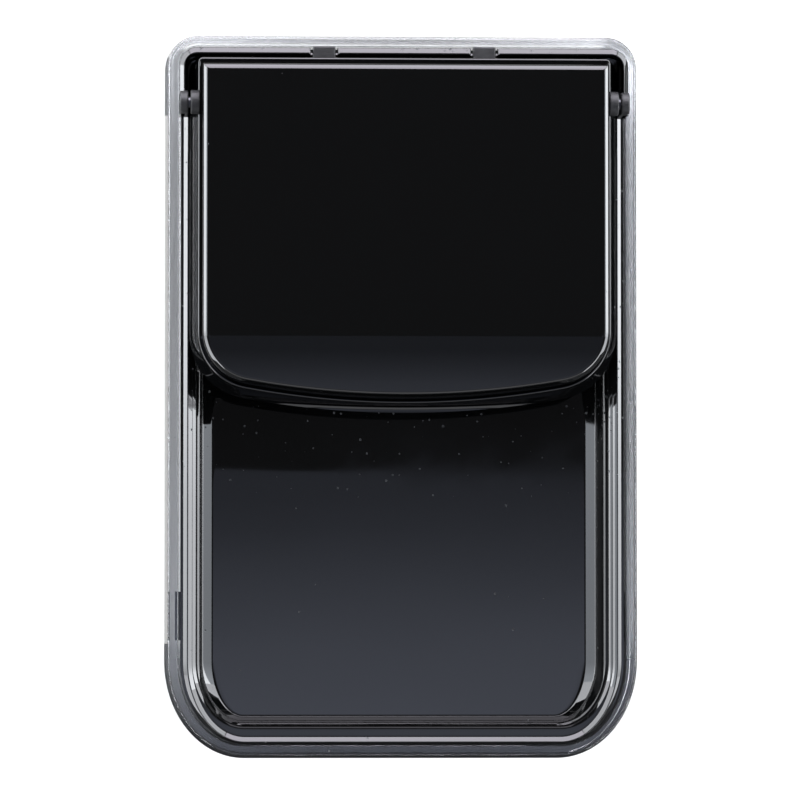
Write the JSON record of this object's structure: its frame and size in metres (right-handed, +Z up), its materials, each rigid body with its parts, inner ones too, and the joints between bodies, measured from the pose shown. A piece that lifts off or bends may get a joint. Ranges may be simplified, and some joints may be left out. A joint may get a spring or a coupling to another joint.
{
  "type": "clip dispenser",
  "caption": "Desk box for paper clips: a clear case round a black tray with an open dish in front and a reservoir behind it under a hinged lid.",
  "frame": {"origin": "middle of the feet's underside, at the centre of the outline", "axes": "+X to the right, +Y to the rear where the hinge is, +Z up"},
  "size_m": [0.069, 0.1054, 0.027],
  "materials": {
    "clear_case": "polished clear moulding with a faint smoke tint",
    "gloss_black": "high gloss piano black moulding",
    "cover_black": "high gloss black moulding",
    "pin_steel": "ground steel",
    "magnet_grey": "sintered dark grey",
    "satin_black": "fine satin moulding",
    "foot_rubber": "matte rubber"
  },
  "bodies": {
    "base": {"case_shell": "clear_case", "inner_tray": "gloss_black", "hinge_pin_left": "pin_steel", "hinge_pin_right": "pin_steel", "magnet_bar": "magnet_grey", "magnet_retainer": "satin_black", "foot_front_left": "foot_rubber", "foot_front_right": "foot_rubber", "foot_rear_left": "foot_rubber", "foot_rear_right": "foot_rubber"},
    "lid": {"lid_frame": "gloss_black", "lid_cover": "cover_black"}
  },
  "joints": [
    {"name": "lid_hinge", "type": "hinge", "parent": "base", "child": "lid", "pos_m": [0, 0.042, 0.022], "axis": [-1, 0, 0], "range_deg": [0, 100]}
  ]
}
